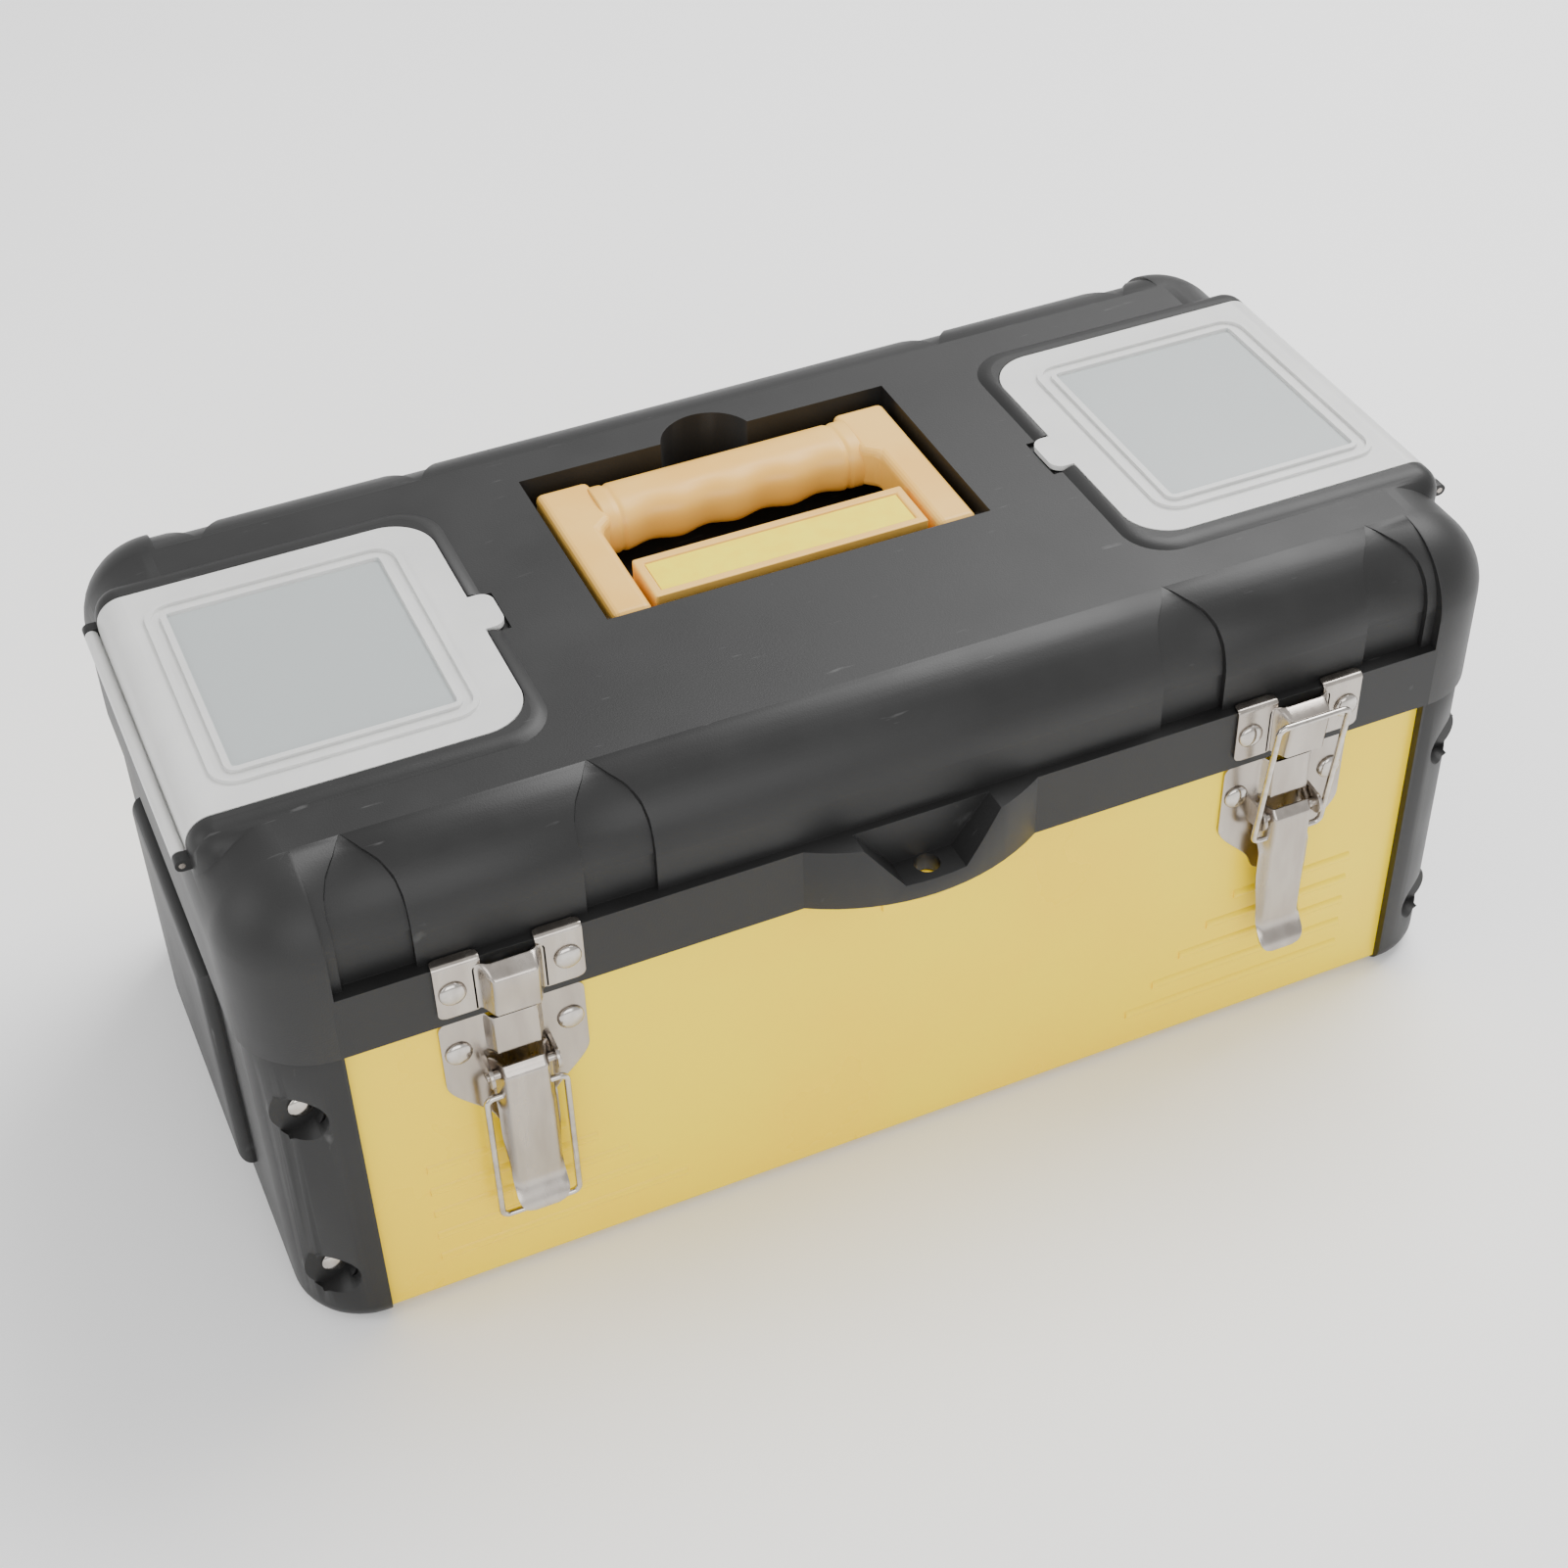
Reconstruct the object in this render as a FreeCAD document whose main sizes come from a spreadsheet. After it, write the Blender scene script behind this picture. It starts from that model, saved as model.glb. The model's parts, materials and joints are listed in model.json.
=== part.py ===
"""Hybrid toolbox: a sheet-steel trough between two moulded end caps, under a moulded lid that
carries a folding handle and two small-parts wells, with a lift-out tray inside.

Frame: +X to the right along the box, +Y to the back, +Z up. The origin is on the floor, half way
between the padlock tab and the hinges. Everything is drawn about the middle of the trough and
moved into that frame when it is written. Sizes are in millimetres, in the spreadsheet "dims".
"""
import FreeCAD, Part
import Sketcher
import os

from FreeCAD import Placement, Rotation, Vector

doc = FreeCAD.newDocument("toolbox")
NODES = {}

# ---------------------------------------------------------------------------------- dimensions
SIZES = {
    # the whole box
    "box_len": 432, "trough_deep": 208, "seam_z": 126, "lid_top": 187.7, "corner_rad": 25,
    # sheet-steel trough
    "sheet": 0.8, "trough_z": 3, "lap_high": 12, "panel_len": 380, "sheet_lap": 5,
    "rib_rad": 2.6, "rib_proud": 0.9, "rib_pitch": 10.8, "rib_low_z": 18, "rib_from": 171,
    # end caps
    "cap_wall": 4, "cap_proud": 3, "cap_foot_rad": 8, "lap_inset": 2,
    "dimple_rad": 9, "dimple_x": 9, "dimple_low_z": 25, "dimple_high_z": 100, "dimple_deep": 11,
    "ledge_z": 88, "ledge_reach": 18, "ledge_thick": 3, "side_grip_proud": 5,
    "side_grip_half": 46, "side_grip_low": 26, "side_grip_high": 116,
    # lid
    "seam_gap": 0.3, "lid_wall": 3.5, "rim_wall": 2.5, "rim_high": 24, "rim_proud": 4,
    "rim_end_proud": 2, "wall_inset": 0.5, "shoulder_rad": 24, "rim_shelf": 3.5,
    "groove_deep": 2.2, "groove_half": 11.5, "groove_near": 98.5, "groove_far": 175,
    # small-parts wells and their covers
    "bezel_from": 96.5, "bezel_half": 69.5, "bezel_proud": 1.5, "bezel_corner": 20,
    "bezel_out_rad": 9, "cover_corner": 16,
    "bezel_end_rad": 9, "cover_from": 105.5, "cover_half": 57.7, "cover_thick": 1.6,
    "cover_gap": 0.4, "cover_pin_z": 177, "cover_knuckle": 2.2, "cover_pin_rad": 1,
    "cover_lug": 4, "seat_slope": 5.5, "bead_high": 1.2, "bead_wide": 2,
    "window_from": 118, "window_to": 203, "window_corner": 9,
    "window_half": 48, "tab_half": 9, "tab_reach": 7.5, "well_from": 110, "well_to": 205,
    "well_half": 53, "well_floor_z": 150, "well_wall": 2,
    # carrying handle in its recess
    "recess_half": 68.3, "recess_front": -19.4, "recess_back": 64.8, "recess_floor_z": 162,
    "scoop_rad": 17, "scoop_y": 60, "scoop_floor_z": 168, "arm_out": 65.3, "arm_wide": 14,
    "arm_low_z": 169.5, "arm_high_z": 185.5, "grip_front": 34, "grip_back": 59,
    "grip_round": 6, "grip_low_z": 166, "grip_high_z": 186.8, "handle_pin_y": -8.5, "handle_pin_rad": 2,
    "running": 0.05, "finger_rad": 13, "finger_pitch": 21.5, "finger_bite": 2.6,
    "plate_half": 49, "plate_front": -12.5, "plate_back": 9.5, "plate_top": 185.5,
    "plate_border": 3.2, "plate_sink": 1.4, "card_thick": 0.8,
    # padlock tab and hasp eye
    "hasp_rad": 78, "hasp_reach": 15, "hasp_floor_z": 133, "notch_low_half": 10.5,
    "notch_high_half": 24, "notch_clear": 0.25, "padlock_rad": 4.25, "padlock_in": 7.5, "eye_half": 12,
    "eye_thick": 2, "eye_reach": 15,
    # draw latches
    "latch_x": 137.2, "plate": 1.2, "latch_half": 23.5, "rivet_spread": 18.2,
    "tongue_half": 9, "tongue_low_z": 72, "waist_z": 97, "latch_top_z": 124,
    "base_rivet_z": 110, "rivet_rad": 4.4, "rivet_high": 2,
    "ear_gap": 0.4, "ear_low_z": 97, "ear_high_z": 105.5, "ear_out": 9.5,
    "lever_half": 9.8, "lever_out": 9, "lever_top_z": 104.5, "lever_low_z": 48, "toe_z": 43,
    "toe_out": 5, "cheek_low_z": 88, "cheek_in": 4, "lever_pin_out": 6.5, "lever_pin_z": 101,
    "lever_pin_rad": 1.5, "pin_proud": 0.6, "bail_out": 7.2, "bail_z": 92, "bail_gap": 0.1,
    "bail_turn_in": 0.8, "bail_long": 55.5,
    "bail_wire": 1.1, "bail_lean": 7, "hook_half": 8.5, "hook_out": 7, "hook_low_z": 131,
    "hook_high_z": 146, "keeper_low_z": 130, "keeper_rivet_z": 140, "keeper_fold": 3,
    # lid hinges
    "hinge_x": 137, "hinge_half": 24, "knuckle_gap": 0.5, "hinge_z": 127, "knuckle_rad": 3,
    "hinge_pin_rad": 1.4, "knuckle_half": 8, "leaf_drop": 20, "leaf_step": 4.6,
    "leaf_rise": 20, "hinge_rivet_spread": 15,
    # lift-out tray
    "tray_slack": 4, "tray_side_slack": 11.4, "tray_corner": 16, "tray_wall": 2, "tray_deep": 34,
    "tray_grip_half": 45, "tray_grip_rise": 16, "tray_grip_thick": 5, "tray_divider_x": 92,
    "divider_thick": 1.5,
}

sheet = doc.addObject("Spreadsheet::Sheet", "dims")
for row, (alias, value) in enumerate(SIZES.items(), start=1):
    sheet.set(f"A{row}", alias)
    sheet.set(f"B{row}", str(value))
    sheet.setAlias(f"B{row}", alias)
doc.recompute()


def size(alias):
    """A dimension's value, read back from the spreadsheet."""
    return float(sheet.get(alias))


def formula(text):
    """A formula over the sheet's names, in the form that setExpression takes."""
    words = text.replace("(", " ( ").replace(")", " ) ").split()
    return " ".join(f"dims.{word}" if word in SIZES else word for word in words)


def worked_out(text):
    """The number that a formula gives now."""
    return float(sheet.evalExpression(formula(text)))


def minus(text):
    return f"0 - ( {text} )"


def between(low, high):
    return f"( {high} ) - ( {low} )"


class Piece:
    """One PartDesign body, made feature by feature."""

    def __init__(self, name):
        self.body = doc.addObject("PartDesign::Body", name)
        self.body.Label = name
        self.body.AllowCompound = True

    def _primitive(self, kind, sizes, corner, rotation=None):
        shape = self.body.newObject(f"PartDesign::{kind}", kind)
        if rotation:
            shape.Placement = Placement(Vector(), rotation)
        for prop, text in sizes.items():
            shape.setExpression(prop, formula(text))
        for axis, text in zip("xyz", corner):
            shape.setExpression(f"Placement.Base.{axis}", formula(text))
        doc.recompute()
        return shape

    def box(self, low, high, cut=False):
        """A block between two opposite corners, each three formulas."""
        kind = "SubtractiveBox" if cut else "AdditiveBox"
        edges = [between(a, b) for a, b in zip(low, high)]
        return self._primitive(kind, dict(zip(("Length", "Width", "Height"), edges)), low)

    def rod(self, radius, start, length, along="Z", cut=False):
        """A cylinder from its start point along +X, +Y or +Z."""
        turn = {"X": Rotation(Vector(0, 1, 0), 90), "Y": Rotation(Vector(1, 0, 0), -90),
                "Z": None}[along]
        kind = "SubtractiveCylinder" if cut else "AdditiveCylinder"
        return self._primitive(kind, {"Radius": radius, "Height": length}, start, turn)

    def outline(self, plane, offset, points, length, cut=False):
        """A straight-sided outline on an origin plane, padded or pocketed along +X, +Y or +Z."""
        role = {"Z": "XY_Plane", "Y": "XZ_Plane", "X": "YZ_Plane"}[plane]
        origin = next(f for f in self.body.Origin.OriginFeatures if f.Role == role)
        sketch = self.body.newObject("Sketcher::SketchObject", "Outline")
        sketch.AttachmentSupport = [(origin, "")]
        sketch.MapMode = "FlatFace"
        facing = -1 if plane == "Y" else 1
        sketch.setExpression("AttachmentOffset.Base.z", formula(f"{facing} * ( {offset} )"))
        corners = [Vector(worked_out(u), worked_out(v), 0) for u, v in points]
        for i, corner in enumerate(corners):
            sketch.addGeometry(Part.LineSegment(corner, corners[(i + 1) % len(corners)]), False)
        for i, (u, v) in enumerate(points):
            following = (i + 1) % len(points)
            sketch.addConstraint(Sketcher.Constraint("Coincident", i, 2, following, 1))
            for kind, text, value in (("DistanceX", u, corners[i].x),
                                      ("DistanceY", v, corners[i].y)):
                place = sketch.addConstraint(Sketcher.Constraint(kind, -1, 1, i, 1, value))
                sketch.setExpression(f"Constraints[{place}]", formula(text))
        kind = "PartDesign::Pocket" if cut else "PartDesign::Pad"
        solid = self.body.newObject(kind, kind.split("::")[1])
        solid.Profile = sketch
        solid.setExpression("Length", formula(length))
        solid.Reversed = (facing < 0) != cut
        doc.recompute()
        return solid

    def round(self, radius, wanted, kind="Fillet"):
        """Rounds or chamfers the tip's edges that the test accepts."""
        tip = self.body.Tip
        edges = [f"Edge{i}" for i, edge in enumerate(tip.Shape.Edges, 1) if wanted(edge)]
        dressed = self.body.newObject(f"PartDesign::{kind}", kind)
        dressed.Base = (tip, edges)
        dressed.setExpression("Radius" if kind == "Fillet" else "Size", formula(radius))
        doc.recompute()
        return dressed


def runs_along(axis, **limits):
    """A test for straight edges along an axis whose midpoint is inside limits such as x=(0, 9)."""
    def test(edge):
        if edge.Curve.TypeId != "Part::GeomLine":
            return False
        if abs(getattr(edge.Curve.Direction, axis)) < 0.999:
            return False
        middle = edge.valueAt((edge.FirstParameter + edge.LastParameter) / 2)
        return all(low <= getattr(middle, name) <= high for name, (low, high) in limits.items())
    return test


def lies_at(z):
    """A test for edges that lie flat at a height."""
    return lambda edge: edge.BoundBox.ZLength < 1e-6 and abs(edge.BoundBox.ZMin - z) < 1e-6


def keep(name, thing):
    """Makes an object, or a piece's body, the node of that name."""
    node = thing.body if isinstance(thing, Piece) else thing
    node.Label = name
    NODES[name] = node
    return node


def combine(kind, name, *things):
    """Part::MultiFuse of everything, or Part::Cut of the first by the second."""
    things = [t.body if isinstance(t, Piece) else t for t in things]
    made = doc.addObject(f"Part::{kind}", name)
    if kind == "MultiFuse":
        made.Shapes = things
    else:
        made.Base, made.Tool = things
    made.Refine = True
    doc.recompute()
    return made


def mirrored(name, thing, across="x"):
    """The same object on the other side of the middle plane."""
    twin = doc.addObject("Part::Mirroring", name)
    twin.Source = thing.body if isinstance(thing, Piece) else thing
    twin.Normal = Vector(1, 0, 0) if across == "x" else Vector(0, 1, 0)
    doc.recompute()
    return twin


# Faces and axes that several pieces share.
END = "box_len / 2"
PANEL_Y = "trough_deep / 2"
CAP_Y = "trough_deep / 2 + cap_proud"
PANEL_X = "panel_len / 2"
RIM_Z = "seam_z + seam_gap"
LEDGE_Z = "seam_z + seam_gap + rim_high"
RIM_Y = "trough_deep / 2 + rim_proud"
RIM_X = "box_len / 2 + rim_end_proud"
WALL_Y = "trough_deep / 2 + wall_inset"
LAP_Z = "seam_z + lap_high"
BEZEL_Z = "lid_top + bezel_proud"
HINGE_Y = f"( {RIM_Y} + knuckle_gap + knuckle_rad )"
EAR_HALF = "( lever_half + ear_gap + plate )"
BAIL_HALF = f"( {EAR_HALF} + pin_proud + bail_gap + bail_wire )"
HANDLE_PIN_Z = "( arm_low_z + arm_high_z ) / 2"


def fuse(name, *things):
    return keep(name, combine("MultiFuse", name, *things))


# ------------------------------------------------------------------------------ steel trough
def make_trough():
    """A folded sheet: floor, front and back, ribbed low on each outer third of both panels."""
    trough = Piece("body_shell")
    half = f"{PANEL_X} + sheet_lap"
    trough.box((minus(half), minus(PANEL_Y), "trough_z"), (half, PANEL_Y, LAP_Z))
    for row in range(5):
        z = f"rib_low_z + {row} * rib_pitch"
        long = f"rib_from - ( 84 + {row} * 10 )"
        for start in ("0 - rib_from", f"rib_from - ( {long} )"):
            for side in (-1, 1):
                y = f"{side} * ( {PANEL_Y} - rib_rad + rib_proud )"
                trough.rod("rib_rad", (start, y, z), long, "X")
    trough.box((minus(f"{half} + 1"), minus(f"{PANEL_Y} - sheet"), "trough_z + sheet"),
               (f"{half} + 1", f"{PANEL_Y} - sheet", f"{LAP_Z} + 1"), cut=True)
    keep("body_shell", trough)


# ---------------------------------------------------------------------------------- end caps
def make_caps():
    """Moulded end caps that wrap the sheet's ends, with a tongue up inside the lid's rim."""
    cap = Piece("right_end_cap")
    lap_y = PANEL_Y
    lap_x = f"{END} - lap_inset"
    cap.box((PANEL_X, minus(lap_y), "seam_z - 20"), (lap_x, lap_y, LAP_Z))
    cap.round("corner_rad - 3", runs_along("z", x=(worked_out(lap_x) - 1, 999)))
    cap.box((PANEL_X, minus(CAP_Y), "0"), (END, CAP_Y, "seam_z"))
    cap.round("corner_rad", runs_along("z", x=(worked_out(END) - 1, 999), z=(0, size("seam_z"))))
    cap.round("cap_foot_rad", lambda edge: lies_at(0)(edge) and edge.BoundBox.XMax
              > worked_out(PANEL_X) + 0.1)
    inner_x = f"{END} - cap_wall"
    inner_y = f"{CAP_Y} - cap_wall - 1"
    slope = "corner_rad * 0.55"
    cap.outline("Z", "trough_z", [
        (f"{PANEL_X} - 1", minus(inner_y)), (f"{inner_x} - {slope}", minus(inner_y)),
        (inner_x, minus(f"{inner_y} - {slope}")), (inner_x, f"{inner_y} - {slope}"),
        (f"{inner_x} - {slope}", inner_y), (f"{PANEL_X} - 1", inner_y)], "200", cut=True)
    cap.box((f"{PANEL_X} - 1", minus(PANEL_Y), "trough_z"),
            (f"{PANEL_X} + sheet_lap", PANEL_Y, "200"), cut=True)
    cap.box((f"{inner_x} - ledge_reach", minus(f"{PANEL_Y} - 30"), "ledge_z - ledge_thick"),
            (f"{inner_x} + 1", f"{PANEL_Y} - 30", "ledge_z"))
    cap.box((f"{END} - 1", minus("side_grip_half"), "side_grip_low"),
            (f"{END} + side_grip_proud", "side_grip_half", "side_grip_high"))
    cap.round("side_grip_proud - 1", lambda edge: edge.BoundBox.XMin
              > worked_out(f"{END} + side_grip_proud") - 0.01)
    for side in (-1, 1):
        floor = f"{CAP_Y} - dimple_deep"
        for z in ("dimple_low_z", "dimple_high_z"):
            x = f"{END} - dimple_x"
            low = f"{floor} - 3" if side > 0 else minus(f"{CAP_Y} - 7")
            cap.rod("dimple_rad + 2", (f"{x} - 4", low, z), "dimple_deep - 4", "Y")
            low = floor if side > 0 else minus(f"{CAP_Y} + 1")
            cap.rod("dimple_rad", (x, low, z), "dimple_deep + 1", "Y", cut=True)
    keep("right_end_cap", cap)
    keep("left_end_cap", mirrored("left_end_cap", cap))
    rivets = Piece("right_cap_rivets")
    for side in (-1, 1):
        for z in ("dimple_low_z", "dimple_high_z"):
            floor = f"{CAP_Y} - dimple_deep"
            low = floor if side > 0 else minus(f"{floor} + rivet_high")
            rivets.rod("rivet_rad", (f"{END} - dimple_x - 3", low, z), "rivet_high", "Y")
    keep("right_cap_rivets", rivets)
    keep("left_cap_rivets", mirrored("left_cap_rivets", rivets))


# --------------------------------------------------------------------------------- lid shell
def rounded_block(name, half_x, half_y, low, high, corner, top):
    """A block with rounded upright corners and a rounded top edge."""
    block = Piece(name)
    block.box((minus(half_x), minus(half_y), low), (half_x, half_y, high))
    block.round(corner, runs_along("z"))
    if top:
        block.round(top, lies_at(worked_out(high)))
    return block


def make_lid():
    """The moulded lid: rim, shoulders, bezels, wells, handle recess and padlock tab."""
    dome = rounded_block("LidDome", END, WALL_Y, RIM_Z, "lid_top", "corner_rad", "shoulder_rad")
    rim = rounded_block("LidRim", RIM_X, RIM_Y, RIM_Z, LEDGE_Z, "corner_rad + 2", "")
    tab_y = minus(f"{WALL_Y} + hasp_reach - hasp_rad")
    tab = Piece("PadlockTab")
    tab.rod("hasp_rad", ("0", tab_y, RIM_Z), f"{LEDGE_Z} - ( {RIM_Z} )")
    bezels = []
    for side, name in ((1, "RightBezel"), (-1, "LeftBezel")):
        bezel = Piece(name)
        low, high = ("bezel_from", END) if side > 0 else (minus(END), "0 - bezel_from")
        bezel.box((low, minus("bezel_half"), LEDGE_Z), (high, "bezel_half", BEZEL_Z))
        inner = worked_out("bezel_from") + 1
        bezel.round("bezel_corner", runs_along("z", x=(-inner, inner)))
        bezel.round("bezel_out_rad", runs_along("z", x=tuple(sorted((
            worked_out(f"{side} * ( {END} )") - 1, worked_out(f"{side} * ( {END} )") + 1)))))
        bezel.round("bezel_end_rad", lambda edge: lies_at(worked_out(BEZEL_Z))(edge)
                    and abs(edge.BoundBox.Center.x) > worked_out(END) - 12)
        bezels.append(bezel)
    wide = rounded_block("LidCorners", RIM_X, RIM_Y, RIM_Z, "lid_top", "corner_rad + 2",
                         "shoulder_rad + 2")
    middle = Piece("LidMiddle")
    middle.box((minus(PANEL_X), "0 - 200", RIM_Z), (PANEL_X, "200", "lid_top + 1"))
    corners = combine("Cut", "CornerZones", wide, middle)
    outer = combine("MultiFuse", "LidOuter", dome, rim, corners, tab, *bezels)

    inner_x = f"{END} - lid_wall"
    inner_y = f"{WALL_Y} - lid_wall"
    hollow = rounded_block("LidHollow", inner_x, inner_y, RIM_Z, "lid_top - lid_wall",
                           "corner_rad - lid_wall", "shoulder_rad - lid_wall")
    rim_hollow = rounded_block("RimHollow", f"{RIM_X} - rim_wall", f"{RIM_Y} - rim_wall",
                               f"{RIM_Z} - 1", f"{LEDGE_Z} - rim_shelf",
                               "corner_rad + 2 - rim_wall", "")
    ends = Piece("BezelHollow")
    ends.box((minus(inner_x), minus("bezel_half - lid_wall"), LEDGE_Z),
             (inner_x, "bezel_half - lid_wall", "lid_top - lid_wall - bezel_end_rad / 3"))
    shell = combine("Cut", "LidSkin", outer, combine("MultiFuse", "Hollow", hollow, rim_hollow,
                                                     ends))

    pans = Piece("LidPans")
    top = "lid_top - 1"
    for side in (1, -1):
        low, high = ("well_from - well_wall", "well_to + well_wall")
        if side < 0:
            low, high = minus(high), minus(low)
        pans.box((low, minus("well_half + well_wall"), "well_floor_z"),
                 (high, "well_half + well_wall", top))
    wall = "well_wall"
    pans.box((minus(f"recess_half + {wall}"), f"recess_front - {wall}",
              f"recess_floor_z - {wall}"),
             (f"recess_half + {wall}", f"recess_back + {wall}", top))
    pans.rod(f"scoop_rad + {wall}", ("0", "scoop_y", f"scoop_floor_z - {wall}"),
             f"{top} - ( scoop_floor_z - {wall} )")
    shell = combine("MultiFuse", "LidWithPans", shell, pans)

    cuts = Piece("LidCuts")
    above = "lid_top + 20"
    for side in (1, -1):
        low, high = ("well_from", "well_to")
        if side < 0:
            low, high = "0 - well_to", "0 - well_from"
        cuts.box((low, minus("well_half"), "well_floor_z + well_wall"),
                 (high, "well_half", above))
    cuts.box(("0 - recess_half", "recess_front", "recess_floor_z"),
             ("recess_half", "recess_back", above))
    cuts.rod("scoop_rad", ("0", "scoop_y", "scoop_floor_z"), f"{above} - scoop_floor_z")
    seat = f"{BEZEL_Z} - cover_thick - cover_gap"
    for side in (1, -1):
        low, high = ("cover_from - cover_gap", f"{END} + 9")
        if side < 0:
            low, high = minus(high), minus(low)
        reach = "cover_half + cover_gap"
        cuts.box((low, minus(reach), seat), (high, reach, above))
        edge_x = worked_out(f"{side} * ( cover_from - cover_gap )")
        cuts.round("cover_corner + cover_gap", lambda edge: runs_along(
            "z", x=(edge_x - 0.1, edge_x + 0.1))(edge) and edge.BoundBox.ZMin
            > worked_out(seat) - 0.1)
        low, high = ("cover_from - tab_reach - cover_gap * 2", "cover_from + 1")
        if side < 0:
            low, high = minus(high), minus(low)
        cuts.box((low, minus("tab_half + 1"), f"{seat} - 1"), (high, "tab_half + 1", above))
        low, high = (f"{END} - cover_thick - cover_gap * 2", f"{END} + 9")
        if side < 0:
            low, high = minus(high), minus(low)
        cuts.box((low, minus(reach), "cover_pin_z - cover_knuckle - cover_gap"),
                 (high, reach, above))
        face = f"{END} - cover_thick - cover_gap * 2"
        slope = [(f"{face} - seat_slope", seat), (f"{face} + 1", seat),
                 (f"{face} + 1", f"{seat} - seat_slope - 1")]
        slope = [(f"{side} * ( {x} )", z) for x, z in slope]
        cuts.outline("Y", minus(reach), slope, f"2 * ( {reach} )")
    cuts.outline("Y", minus(f"{WALL_Y} + hasp_reach + 1"), [
        ("0 - notch_low_half", "hasp_floor_z"), ("notch_low_half", "hasp_floor_z"),
        ("notch_high_half", f"{LEDGE_Z} + 0.5"), ("0 - notch_high_half", f"{LEDGE_Z} + 0.5")],
        "1 + padlock_in + padlock_rad + notch_clear")
    cuts.rod("padlock_rad", ("0", minus(f"{WALL_Y} + hasp_reach - padlock_in"),
                             f"{RIM_Z} - 1"), "20")
    cuts.rod("handle_pin_rad", ("0 - 75", "handle_pin_y", HANDLE_PIN_Z), "150", "X")
    shell = combine("Cut", "LidPocketed", shell, cuts)

    marks = Piece("GroovePlan")
    for middle in ("groove_near", "groove_far", "0 - groove_near", "0 - groove_far"):
        for side in (-1, 1):
            plan = [(0, 80), (0.35, 87), (0.72, 92.5), (0.92, 97), (1, 101), (1, 106)]
            right = [(f"{middle} + {share} * groove_half", f"{side} * {y}") for share, y in plan]
            left = [(f"{middle} - {share} * groove_half", f"{side} * {y}") for share, y in plan]
            marks.outline("Z", LEDGE_Z, right + left[:0:-1], "60")
    core = rounded_block("GrooveCore", f"{END} - groove_deep", f"{WALL_Y} - groove_deep",
                         "seam_z - 5", "lid_top", "corner_rad", "shoulder_rad")
    shell = combine("Cut", "LidGrooved", shell, combine("Cut", "Grooves", marks, core))

    lugs = Piece("CoverLugs")
    axis_x = f"{END} + cover_knuckle + cover_gap"
    for side in (1, -1):
        for start in ("cover_half + cover_gap", minus("cover_half + cover_gap + cover_lug")):
            x = f"{side} * ( {axis_x} )"
            lugs.rod("cover_knuckle", (x, start, "cover_pin_z"), "cover_lug", "Y")
            low, high = (f"{END} - 3", axis_x) if side > 0 else (minus(axis_x), minus(
                f"{END} - 3"))
            lugs.box((low, start, "cover_pin_z - cover_knuckle"),
                     (high, f"{start} + cover_lug", "cover_pin_z + cover_knuckle"))
        lugs.rod("cover_pin_rad", (f"{side} * ( {axis_x} )", "0 - 90", "cover_pin_z"), "180",
                 "Y", cut=True)
    fuse("lid_shell", shell, lugs)


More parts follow.
